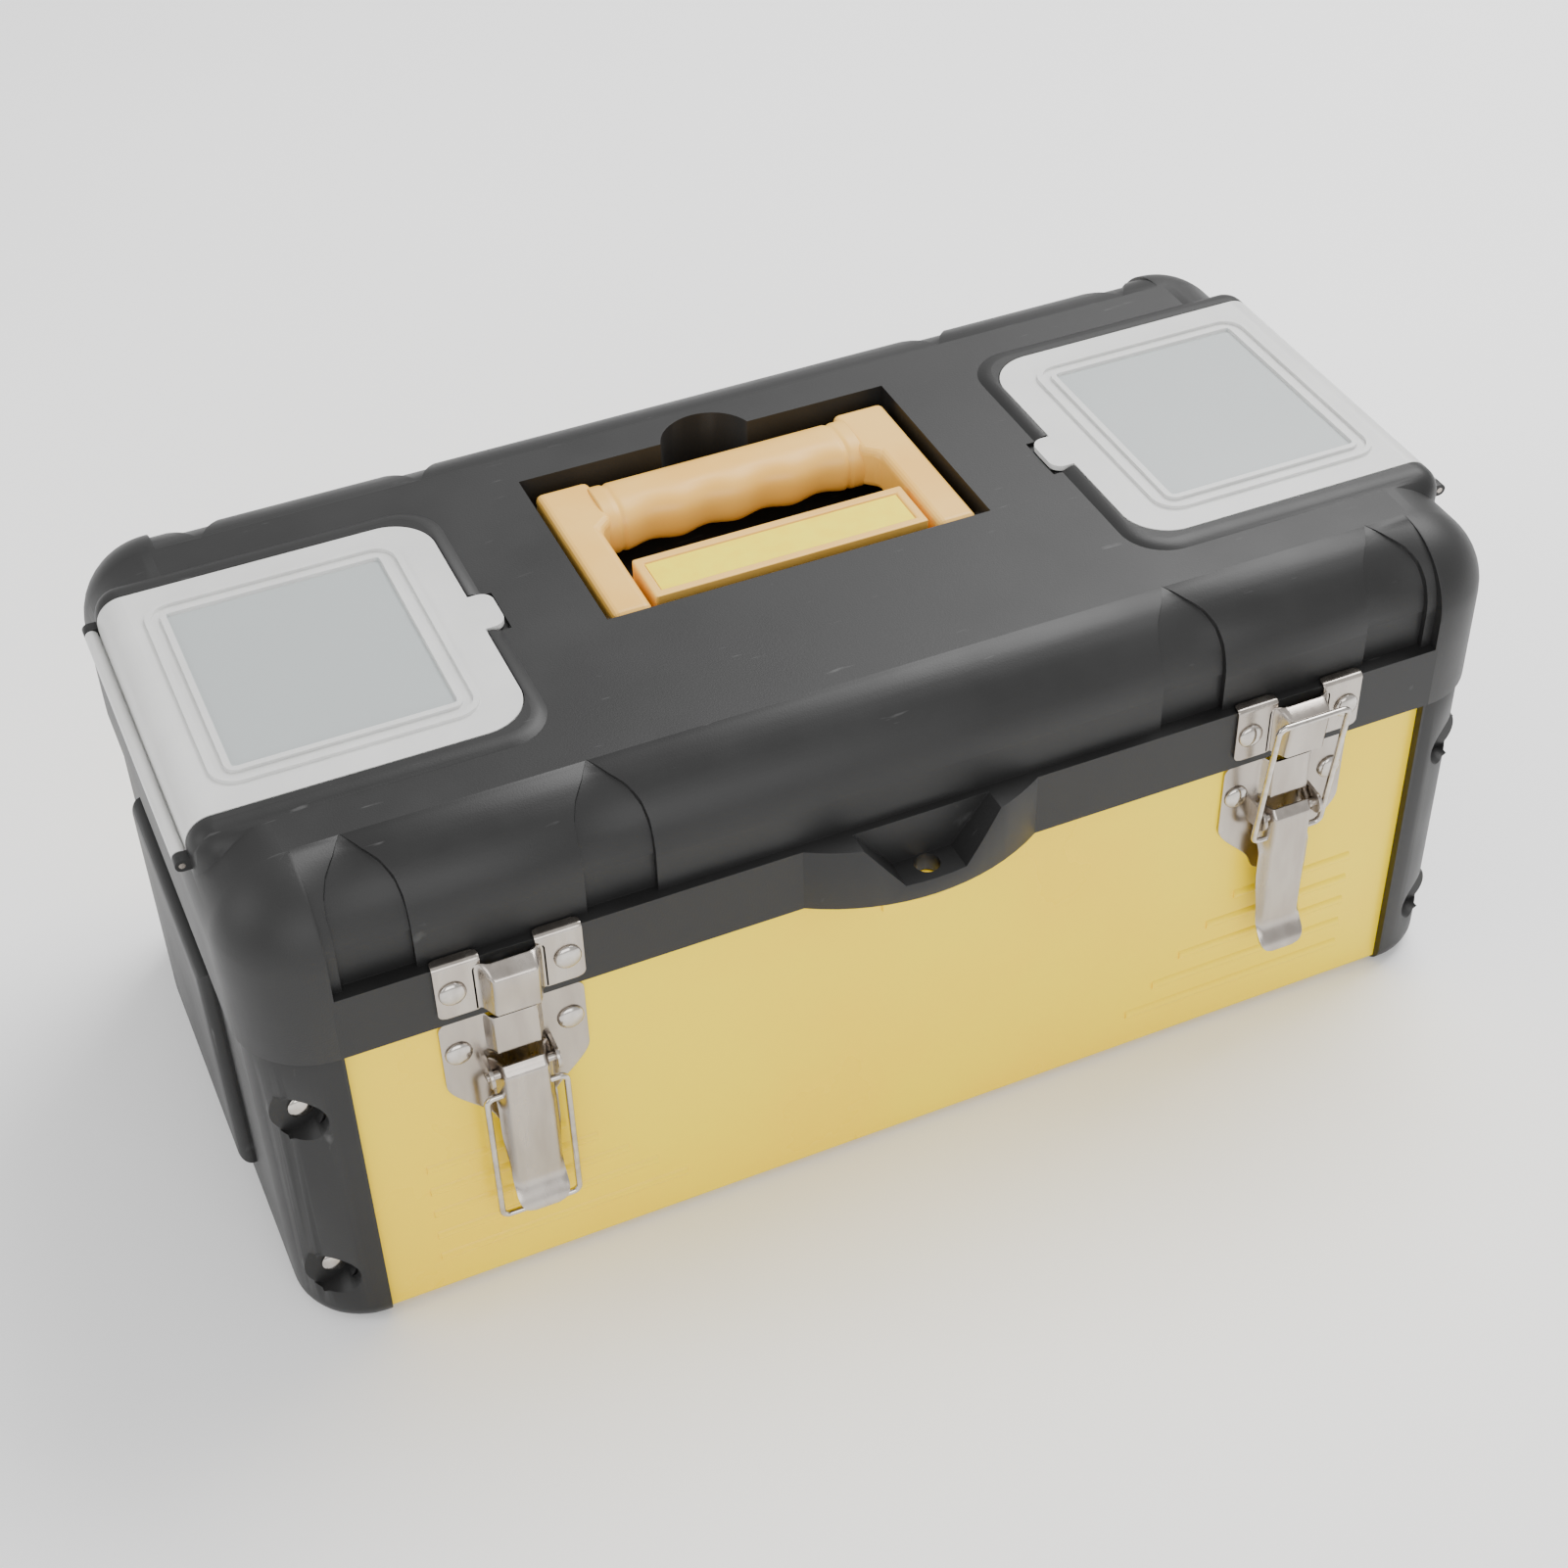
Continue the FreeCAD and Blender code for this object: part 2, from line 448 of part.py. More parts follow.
# ---------------------------------------------------------------------- small-parts covers
def make_covers():
    """Hinged covers over the two wells: a plate, a rolled end, a knuckle and a finger tab."""
    axis_x = f"{END} + cover_knuckle + cover_gap"
    cover = Piece("right_organizer_lid")
    foot = "cover_pin_z - cover_knuckle"
    under = f"{BEZEL_Z} - cover_thick"
    cover.box(("cover_from", minus("cover_half"), foot), (END, "cover_half", BEZEL_Z))
    cover.round("cover_corner", runs_along("z", x=(0, worked_out("cover_from") + 1)))
    cover.round("bezel_end_rad", runs_along("y", x=(worked_out(END) - 1, 999),
                                            z=(worked_out(BEZEL_Z) - 1, 999)))
    inner_x = f"{END} - cover_thick"
    start = ("cover_from - 1", minus("cover_half + 1"), f"{foot} - 1")
    bend_x, bend_z = f"{END} - bezel_end_rad", f"{BEZEL_Z} - bezel_end_rad"
    cover.box(start, (bend_x, "cover_half + 1", under), cut=True)
    cover.box(start, (inner_x, "cover_half + 1", bend_z), cut=True)
    cover.rod("bezel_end_rad - cover_thick", (bend_x, minus("cover_half + 1"), bend_z),
              "2 * cover_half + 2", "Y", cut=True)
    cover.box(("cover_from - tab_reach", minus("tab_half"), f"{under} - 0.4"),
              ("cover_from + 1", "tab_half", BEZEL_Z))
    cover.round("tab_half / 2", runs_along("z", x=(0, worked_out("cover_from") - 2)))
    cover.box((f"{inner_x} + 0.1", minus("cover_half"), foot), (axis_x, "cover_half",
                                                              f"{foot} + cover_thick"))
    cover.rod("cover_knuckle", (axis_x, minus("cover_half"), "cover_pin_z"),
              "2 * cover_half", "Y")
    cover.rod("cover_pin_rad + running", (axis_x, minus("cover_half + 1"), "cover_pin_z"),
              "2 * cover_half + 2", "Y", cut=True)
    beads = []
    for number, inset in enumerate(("0", "( 2.5 * bead_wide )"), start=1):
        inner = f"( {inset} + bead_wide )"
        bead, hole = Piece(f"WindowBead{number}"), Piece(f"WindowHole{number}")
        bead.box((f"window_from + {inset}", minus(f"window_half - {inset}"), f"{under} + 0.5"),
                 (f"window_to - {inset}", f"window_half - {inset}", f"{BEZEL_Z} + bead_high"))
        bead.round(f"window_corner - {inset}", runs_along("z"))
        hole.box((f"window_from + {inner}", minus(f"window_half - {inner}"), BEZEL_Z),
                 (f"window_to - {inner}", f"window_half - {inner}", f"{BEZEL_Z} + 9"))
        hole.round(f"window_corner - {inner}", runs_along("z"))
        beads.append(combine("Cut", f"WindowFrame{number}", bead, hole))
    cover = combine("MultiFuse", "FramedCover", cover, *beads)
    keep("right_organizer_lid", cover)
    keep("left_organizer_lid", mirrored("left_organizer_lid", cover))
    reach = "cover_half + cover_gap + cover_lug"
    pin = Piece("right_cover_pin")
    pin.rod("cover_pin_rad", (axis_x, minus(reach), "cover_pin_z"), f"2 * ( {reach} )", "Y")
    keep("right_cover_pin", pin)
    keep("left_cover_pin", mirrored("left_cover_pin", pin))
    divider = Piece("right_well_divider")
    middle = "( well_from + well_to ) / 2"
    divider.box((f"{middle} - divider_thick / 2", minus("well_half"),
                 "well_floor_z + well_wall"),
                (f"{middle} + divider_thick / 2", "well_half", f"{BEZEL_Z} - 9"))
    keep("right_well_divider", divider)
    keep("left_well_divider", mirrored("left_well_divider", divider))


# --------------------------------------------------------------------------- carrying handle
def make_handle():
    """A folding U handle with finger waves, its two pins, and the name plate between its arms."""
    handle = Piece("handle")
    handle.box(("0 - arm_out", "grip_front", "grip_low_z"), ("arm_out", "grip_back",
                                                            "grip_high_z"))
    handle.round("grip_round", runs_along("x"))
    arm_rad = "( arm_high_z - arm_low_z ) / 2"
    for low, high in (("arm_out - arm_wide", "arm_out"), ("0 - arm_out", "arm_wide - arm_out")):
        handle.box((low, "handle_pin_y", "arm_low_z"), (high, "grip_back - grip_round",
                                                       "arm_high_z"))
        handle.rod(arm_rad, (low, "handle_pin_y", HANDLE_PIN_Z), "arm_wide", "X")
    for place in (-1.5, -0.5, 0.5, 1.5):
        handle.rod("finger_rad", (f"{place} * finger_pitch",
                                  "grip_front - finger_rad + finger_bite", "grip_low_z - 1"),
                   "grip_high_z - grip_low_z + 2", cut=True)
    handle.rod("handle_pin_rad + running", ("0 - 90", "handle_pin_y", HANDLE_PIN_Z), "180", "X",
               cut=True)
    keep("handle", handle)
    pins = Piece("handle_pins")
    long = "recess_half + well_wall - arm_out + arm_wide - 3"
    for start in ("arm_out - arm_wide + 3", "0 - recess_half - well_wall"):
        pins.rod("handle_pin_rad", (start, "handle_pin_y", HANDLE_PIN_Z), long, "X")
    keep("handle_pins", pins)
    plate = Piece("label_plate")
    plate.box(("0 - plate_half", "plate_front", "recess_floor_z"),
              ("plate_half", "plate_back", "plate_top"))
    inset = "plate_border"
    plate.box((f"{inset} - plate_half", f"plate_front + {inset}", "plate_top - plate_sink"),
              (f"plate_half - {inset}", f"plate_back - {inset}", "plate_top + 1"), cut=True)
    keep("label_plate", plate)
    inset = "plate_border + 0.2"
    card = Piece("label_card")
    card.box((f"{inset} - plate_half", f"plate_front + {inset}", "plate_top - plate_sink"),
             (f"plate_half - ( {inset} )", f"plate_back - ( {inset} )",
              "plate_top - plate_sink + card_thick"))
    keep("label_card", card)


# -------------------------------------------------------------------------------- hasp eye
def make_hasp():
    """The steel eye on the trough, under the lid's padlock tab."""
    eye = Piece("hasp_eye")
    hole_y = minus(f"{WALL_Y} + hasp_reach - padlock_in")
    top = f"{RIM_Z} - 0.5"
    low = f"{top} - eye_thick"
    eye.rod("eye_half", ("0", f"{minus(PANEL_Y)} - eye_reach + eye_half", low), "eye_thick")
    eye.box(("0 - eye_half", f"{minus(PANEL_Y)} - eye_reach + eye_half", low),
            ("eye_half", "0 - 80", top))
    eye.box(("0 - 40", minus(PANEL_Y), "0"), ("40", "0", "seam_z + 9"), cut=True)
    eye.box(("0 - eye_half", f"{minus(PANEL_Y)} - plate", f"{low} - 14"),
            ("eye_half", minus(PANEL_Y), top))
    eye.rod("padlock_rad", ("0", hole_y, f"{low} - 1"), "eye_thick + 2", cut=True)
    keep("hasp_eye", eye)


# ------------------------------------------------------------------------------ draw latches
def dome(piece, x, y, z, facing):
    """A domed rivet head standing out of an upright face, in front or behind."""
    start = y if facing > 0 else f"{y} - rivet_high"
    piece.rod("rivet_rad", (x, start, z), "rivet_high", "Y")
    piece.round("rivet_high * 0.8", lambda edge: edge.Curve.TypeId == "Part::GeomCircle"
                and abs(edge.BoundBox.Center.y - worked_out(y)) > size("rivet_high") - 0.01
                and abs(edge.BoundBox.Center.x - worked_out(x)) < 0.01)


def make_latches():
    """Draw latches: base with ears, lever on a pin, wire bail, and the keeper on the lid."""
    skin = minus(PANEL_Y)
    base = Piece("right_latch_base")
    outline = [("latch_half", "latch_top_z"), ("latch_half", "waist_z"),
               ("tongue_half", "tongue_low_z")]
    right = [(f"latch_x + {x}", z) for x, z in outline]
    left = [(f"latch_x - {x}", z) for x, z in outline]
    base.outline("Y", f"{skin} - plate", right + left[::-1], "plate")
    for low in (f"latch_x + {EAR_HALF} - plate", f"latch_x - {EAR_HALF}"):
        base.box((low, f"{skin} - ear_out", "ear_low_z"), (f"{low} + plate", skin, "ear_high_z"))
    pin_y = f"{skin} - lever_pin_out"
    base.rod("lever_pin_rad", ("latch_x - 20", pin_y, "lever_pin_z"), "40", "X", cut=True)
    keep("right_latch_base", base)

    rivets = Piece("right_latch_rivets")
    for x in ("latch_x - rivet_spread", "latch_x + rivet_spread"):
        dome(rivets, x, f"{skin} - plate", "base_rivet_z", -1)
    keep("right_latch_rivets", rivets)

    pin = Piece("right_lever_pin")
    pin.rod("lever_pin_rad", (f"latch_x - {EAR_HALF} - pin_proud", pin_y, "lever_pin_z"),
            f"2 * {EAR_HALF} + 2 * pin_proud", "X")
    keep("right_lever_pin", pin)

    lever = Piece("right_latch_lever")
    lever.box(("latch_x - lever_half", f"{skin} - lever_out - plate", "lever_low_z"),
              ("latch_x + lever_half", f"{skin} - lever_out", "lever_top_z"))
    lever.outline("X", "latch_x - lever_half", [
        (f"{skin} - lever_out", "lever_low_z + 2"),
        (f"{skin} - lever_out - plate", "lever_low_z + 2"),
        (f"{skin} - lever_out - toe_out - plate / 2", "toe_z + plate / 2"),
        (f"{skin} - lever_out - toe_out + plate / 2", "toe_z - plate / 2")], "2 * lever_half")
    for low in ("latch_x + lever_half - plate", "latch_x - lever_half"):
        lever.box((low, f"{skin} - lever_out - plate", "cheek_low_z"),
                  (f"{low} + plate", f"{skin} - cheek_in", "lever_top_z"))
    lever.rod("lever_pin_rad + running", ("latch_x - 20", pin_y, "lever_pin_z"), "40", "X",
              cut=True)
    lever.rod("bail_wire + running", ("latch_x - 20", f"{skin} - bail_out", "bail_z"), "40",
              "X", cut=True)
    keep("right_latch_lever", lever)

    keeper = Piece("right_keeper")
    face = minus(RIM_Y)
    keeper.box(("latch_x - latch_half", f"{face} - plate", "keeper_low_z"),
               ("latch_x + latch_half", face, f"{LEDGE_Z} + plate"))
    keeper.box(("latch_x - latch_half", f"{face} - plate", LEDGE_Z),
               ("latch_x + latch_half", f"{face} + keeper_fold", f"{LEDGE_Z} + plate"))
    keeper.box(("latch_x - hook_half", f"{face} - plate - hook_out", "hook_low_z"),
               ("latch_x + hook_half", face, "hook_low_z + plate"))
    keeper.box(("latch_x - hook_half", f"{face} - plate - hook_out", "hook_low_z"),
               ("latch_x + hook_half", f"{face} - hook_out", "hook_high_z"))
    keep("right_keeper", keeper)
    keeper_rivets = Piece("right_keeper_rivets")
    for x in ("latch_x - rivet_spread", "latch_x + rivet_spread"):
        dome(keeper_rivets, x, f"{face} - plate", "keeper_rivet_z", -1)
    keep("right_keeper_rivets", keeper_rivets)
    for name in ("latch_base", "latch_rivets", "lever_pin", "latch_lever", "keeper",
                 "keeper_rivets"):
        keep(f"left_{name}", mirrored(f"left_{name}", NODES[f"right_{name}"]))

    # The left bail hangs off the lever; the right one stands up in front of its hook.
    for name, side, way in (("left_bail", -1, -1), ("right_bail", 1, 1)):
        bail = Piece(name)
        centre = f"{side} * latch_x"
        y = f"{skin} - bail_out"
        far_z = f"bail_z + {way} * bail_long"
        bail.rod("bail_wire", (f"{centre} - {BAIL_HALF}", y, far_z), f"2 * {BAIL_HALF}", "X")
        for end in (-1, 1):
            x = f"{centre} + {end} * {BAIL_HALF}"
            bail.rod("bail_wire", (x, y, "bail_z" if way > 0 else far_z), "bail_long")
            inner = f"{centre} + {end} * ( lever_half - plate - bail_turn_in )"
            bail.rod("bail_wire", (x, y, "bail_z") if end < 0 else (inner, y, "bail_z"),
                     f"{BAIL_HALF} - lever_half + plate + bail_turn_in", "X")
        if way > 0:
            pivot = Vector(0, worked_out(y), size("bail_z"))
            bail.body.Placement = Placement(Vector(), Rotation(Vector(1, 0, 0),
                                                               size("bail_lean")), pivot)
        keep(name, bail)


# --------------------------------------------------------------------------------- lid hinges
def make_hinges():
    """Two butt hinges at the back, knuckles outside the rim."""
    axle = (HINGE_Y, "hinge_z")
    bodies = {name: Piece(f"right_{name}") for name in ("hinge_lid_leaf", "hinge_body_leaf",
                                                       "hinge_pin")}
    lid_leaf, body_leaf, pin = bodies.values()
    low, high = "hinge_x - hinge_half", "hinge_x + hinge_half"
    lid_leaf.box((low, RIM_Y, "hinge_z + leaf_step"),
                 (high, f"{RIM_Y} + plate", "hinge_z + leaf_rise"))
    for start in (low, "hinge_x + knuckle_half"):
        lid_leaf.box((start, RIM_Y, "hinge_z"), (f"{start} + hinge_half - knuckle_half",
                                                f"{RIM_Y} + plate", "hinge_z + leaf_step"))
        lid_leaf.rod("knuckle_rad", (start, *axle), "hinge_half - knuckle_half", "X")
    body_leaf.box((low, PANEL_Y, "hinge_z - knuckle_rad - leaf_drop"),
                  (high, f"{PANEL_Y} + plate", "hinge_z - knuckle_rad"))
    inner_low = "hinge_x - knuckle_half + 0.3"
    inner_high = "hinge_x + knuckle_half - 0.3"
    body_leaf.box((inner_low, PANEL_Y, "hinge_z - knuckle_rad - 1"),
                  (inner_high, f"{HINGE_Y} + 1", "hinge_z - knuckle_rad + plate"))
    body_leaf.rod("knuckle_rad", (inner_low, *axle), "2 * knuckle_half - 0.6", "X")
    for leaf in (lid_leaf, body_leaf):
        leaf.rod("hinge_pin_rad + running", ("hinge_x - 40", *axle), "80", "X", cut=True)
    pin.rod("hinge_pin_rad", (f"{low} - 0.5", *axle), "2 * hinge_half + 1", "X")
    for name, piece in bodies.items():
        keep(f"right_{name}", piece)
        keep(f"left_{name}", mirrored(f"left_{name}", piece))
    for name, face, z in (("hinge_lid_rivets", RIM_Y, "hinge_z + 13"),
                          ("hinge_body_rivets", PANEL_Y, "hinge_z - 14")):
        rivets = Piece(name)
        for side in (-1, 1):
            for x in (-1, 1):
                dome(rivets, f"{side} * hinge_x + {x} * hinge_rivet_spread", f"{face} + plate",
                     z, 1)
        keep(name, rivets)


# ------------------------------------------------------------------------------ lift-out tray
def make_tray():
    """The tray that rests on the end caps' ledges, with its dividers and lifting handle."""
    half_x = f"{END} - cap_wall - tray_slack"
    half_y = f"{PANEL_Y} - sheet - tray_side_slack"
    top = "ledge_z + tray_deep"
    tub = Piece("tray_tub")
    tub.box((minus(half_x), minus(half_y), "ledge_z"), (half_x, half_y, top))
    tub.round("tray_corner", runs_along("z"))
    in_x, in_y = f"{half_x} - tray_wall", f"{half_y} - tray_wall"
    floor = "ledge_z + tray_wall"
    bend = "tray_corner - tray_wall"
    for x, y in ((in_x, f"{in_y} - ( {bend} )"), (f"{in_x} - ( {bend} )", in_y)):
        tub.box((minus(x), minus(y), floor), (x, y, f"{top} + 1"), cut=True)
    for x in (-1, 1):
        for y in (-1, 1):
            tub.rod(bend, (f"{x} * ( {in_x} - ( {bend} ) )", f"{y} * ( {in_y} - ( {bend} ) )",
                           floor), "tray_deep", cut=True)
    keep("tray_tub", tub)
    dividers = Piece("tray_dividers")
    for side in (1, -1):
        low, high = ("tray_divider_x - divider_thick / 2", "tray_divider_x + divider_thick / 2")
        if side < 0:
            low, high = minus(high), minus(low)
        dividers.box((low, minus(in_y), floor), (high, in_y, f"{top} - 5"))
        low, high = ("tray_divider_x", in_x) if side > 0 else (minus(in_x), "0 - tray_divider_x")
        dividers.box((low, "0 - divider_thick / 2", floor), (high, "divider_thick / 2",
                                                             f"{top} - 5"))
    keep("tray_dividers", dividers)
    grip = Piece("tray_handle")
    thick = "tray_grip_thick"
    peak = f"{top} + tray_grip_rise"
    grip.outline("Y", f"0 - {thick} / 2", [
        ("0 - tray_grip_half", floor), ("0 - tray_grip_half", peak), ("tray_grip_half", peak),
        ("tray_grip_half", floor), (f"tray_grip_half - {thick}", floor),
        (f"tray_grip_half - {thick}", f"{peak} - {thick}"),
        (f"{thick} - tray_grip_half", f"{peak} - {thick}"),
        (f"{thick} - tray_grip_half", floor)], thick)
    keep("tray_handle", grip)


make_trough()
make_caps()
make_lid()
make_covers()
make_handle()
make_hasp()
make_latches()
make_hinges()
make_tray()


# -------------------------------------------------------------------------------- write it out
def write_parts():
    """Checks every object, then writes each node to its own file."""
    for thing in doc.Objects:
        bad = [state for state in thing.State if state in ("Invalid", "Error")]
        if bad:
            raise RuntimeError(f"{thing.Label} of {[p.Label for p in thing.InList]}: {bad}")
    for name, node in NODES.items():
        if node.Shape.isNull() or not node.Shape.isValid() or not node.Shape.Solids:
            raise RuntimeError(f"{name}: bad shape")
    os.makedirs("parts", exist_ok=True)
    front, back = worked_out(f"{WALL_Y} + hasp_reach"), worked_out(f"{HINGE_Y} + knuckle_rad")
    for name, node in NODES.items():
        shape = node.Shape.copy()
        shape.translate(Vector(0, (front - back) / 2, 0))  # centred between tab and hinges
        shape.exportStep(f"parts/{name}.step")
        box = shape.BoundBox
        print(f"{name:22s} {len(shape.Solids)} solid, {shape.Volume / 1000:7.2f} cm3,",
              [round(v, 1) for v in (box.XMin, box.XMax, box.YMin, box.YMax, box.ZMin, box.ZMax)])


doc.recompute()
write_parts()
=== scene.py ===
import json
import math

import bmesh
import bpy
import numpy as np
from mathutils import Matrix, Vector


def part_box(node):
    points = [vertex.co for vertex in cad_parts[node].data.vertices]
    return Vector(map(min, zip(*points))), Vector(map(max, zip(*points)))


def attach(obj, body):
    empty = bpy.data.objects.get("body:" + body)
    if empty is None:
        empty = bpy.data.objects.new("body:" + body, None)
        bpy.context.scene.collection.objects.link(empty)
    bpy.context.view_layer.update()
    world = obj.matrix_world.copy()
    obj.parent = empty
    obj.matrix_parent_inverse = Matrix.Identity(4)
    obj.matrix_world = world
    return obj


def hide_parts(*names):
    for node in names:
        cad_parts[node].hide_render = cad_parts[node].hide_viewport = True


# Looks of a steel and plastic tool box. Metres, +X along the box, +Y to the hinges, +Z up.
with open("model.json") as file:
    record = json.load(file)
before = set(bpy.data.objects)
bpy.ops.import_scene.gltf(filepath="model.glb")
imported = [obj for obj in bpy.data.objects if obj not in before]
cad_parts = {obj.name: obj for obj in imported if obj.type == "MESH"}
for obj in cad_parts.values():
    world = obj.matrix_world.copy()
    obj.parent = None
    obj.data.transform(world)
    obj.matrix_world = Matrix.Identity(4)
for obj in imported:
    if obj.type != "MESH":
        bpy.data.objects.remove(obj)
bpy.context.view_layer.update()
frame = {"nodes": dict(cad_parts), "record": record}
nodes = frame["nodes"]
mm = 0.001
print("frame loaded:", len(nodes), "nodes")


# ---- meshes

def weldedObject(name, patches, weld=2e-6):
    # patches: (points, wrapU, wrapV), points shaped (rows, columns, 3); neighbours become quads
    verts, faces, start = [], [], 0
    for points, wrapU, wrapV in patches:
        rows, cols = points.shape[:2]
        index = np.arange(rows * cols).reshape(rows, cols) + start
        below = np.roll(index, -1, 0) if wrapU else index[1:]
        index = index if wrapU else index[:-1]
        nextOver = (lambda a: np.roll(a, -1, 1)) if wrapV else (lambda a: a[:, 1:])
        here = (lambda a: a) if wrapV else (lambda a: a[:, :-1])
        quads = np.stack([here(index), nextOver(index), nextOver(below), here(below)], -1)
        faces.append(quads.reshape(-1, 4))
        verts.append(points.reshape(-1, 3))
        start += rows * cols
    mesh = bpy.data.meshes.new(name)
    mesh.from_pydata(np.concatenate(verts).tolist(), [], np.concatenate(faces).tolist())
    work = bmesh.new()
    work.from_mesh(mesh)
    bmesh.ops.remove_doubles(work, verts=work.verts, dist=weld)
    bmesh.ops.dissolve_degenerate(work, edges=work.edges, dist=1e-7)
    bmesh.ops.recalc_face_normals(work, faces=work.faces)
    work.to_mesh(mesh)
    work.free()
    mesh.polygons.foreach_set("use_smooth", [True] * len(mesh.polygons))
    thing = bpy.data.objects.new(name, mesh)
    bpy.context.scene.collection.objects.link(thing)
    return thing


def closedSheet(outer, inner):
    # a sheet's outer and inner faces joined round their rim: rows run over the face and back
    skin = np.concatenate([outer, inner[::-1]], 0)
    sides = [(np.stack([outer[:, column], inner[:, column]], 1), False, False)
             for column in (0, -1)]
    return [(skin, True, False)] + sides


def rounding(distance, radius):
    # how far a rounded corner pulls a strip's edge in, at a distance from the strip's end
    d = np.clip(distance, 0, radius)
    return radius - np.sqrt(np.maximum(radius ** 2 - (radius - d) ** 2, 0))


def bevelled(thing, width, segments=3, angle=35, weld=True):
    if weld:
        joined = thing.modifiers.new("join", "WELD")
        joined.merge_threshold = 2e-5
    bevel = thing.modifiers.new("edges", "BEVEL")
    bevel.width = width
    bevel.segments = segments
    bevel.limit_method = "ANGLE"
    bevel.angle_limit = math.radians(angle)
    bevel.harden_normals = False
    bevel.use_clamp_overlap = True
    return thing


def roundedPath(corners, radius, steps=10):
    # a polyline whose corners become circular arcs tangent to both runs
    corners = np.array(corners, float)
    out = [corners[:1]]
    for before, corner, after in zip(corners[:-2], corners[1:-1], corners[2:]):
        a = (before - corner) / np.linalg.norm(before - corner)
        b = (after - corner) / np.linalg.norm(after - corner)
        half = np.arccos(np.clip(a @ b, -1, 1)) / 2
        reach = radius / np.tan(half)
        middle = corner + (a + b) / np.linalg.norm(a + b) * radius / np.sin(half)
        start, end = corner + a * reach - middle, corner + b * reach - middle
        t = np.linspace(0, 1, steps)[:, None]
        sweep = np.pi - 2 * half
        arc = (np.sin((1 - t) * sweep) * start + np.sin(t * sweep) * end) / np.sin(sweep)
        out.append(middle + arc)
    out.append(corners[-1:])
    return np.concatenate(out)


def tubePatch(path, radius, normal, around=20):
    # a round wire along a flat path, closed by half-round ends
    normal = np.array(normal, float) / np.linalg.norm(normal)
    tangent = np.gradient(path, axis=0)
    tangent /= np.linalg.norm(tangent, axis=1)[:, None]
    side = np.cross(tangent, normal)
    turn = np.linspace(0, 2 * np.pi, around, endpoint=False)
    ring = np.cos(turn)[None, :, None] * normal + np.sin(turn)[None, :, None] * side[:, None]
    cap = np.linspace(0, np.pi / 2, 6)
    startRings = path[0] - tangent[0] * radius * np.cos(cap)[:, None, None] \
        + ring[0] * radius * np.sin(cap)[:, None, None]
    endRings = path[-1] + tangent[-1] * radius * np.cos(cap[::-1])[:, None, None] \
        + ring[-1] * radius * np.sin(cap[::-1])[:, None, None]
    body = path[1:-1, None] + radius * ring[1:-1]
    return np.concatenate([startRings, body, endRings]), False, True


# ---- materials

def linearColour(hexText):
    values = [int(hexText[i:i + 2], 16) / 255 for i in (1, 3, 5)]
    return tuple(v / 12.92 if v <= 0.04045 else ((v + 0.055) / 1.055) ** 2.4
                 for v in values) + (1.0,)


def addNode(tree, kind, settings=None, links=None):
    node = tree.nodes.new(kind)
    for key, value in (settings or {}).items():
        if key in node.inputs.keys():
            node.inputs[key].default_value = value
        else:
            setattr(node, key, value)
    for socket, source in (links or {}).items():
        tree.links.new(source, node.inputs[socket])
    return node


def blended(tree, factor, colour, hexText):
    # one colour laid over another by a factor
    mix = addNode(tree, "ShaderNodeMix", {"data_type": "RGBA"}, {0: factor, 6: colour})
    mix.inputs[7].default_value = linearColour(hexText)
    return mix.outputs[2]


def inside(tree, value, middle, half):
    # 1 within half of the middle, falling to 0 over half a millimetre; all in millimetres
    away = addNode(tree, "ShaderNodeMath", {"operation": "SUBTRACT"}, {0: value})
    away.inputs[1].default_value = middle * mm
    away = addNode(tree, "ShaderNodeMath", {"operation": "ABSOLUTE"}, {0: away.outputs[0]})
    return addNode(tree, "ShaderNodeMapRange", {
        "From Min": half * mm, "From Max": (half - 0.5) * mm}, {"Value": away.outputs[0]}).outputs[0]


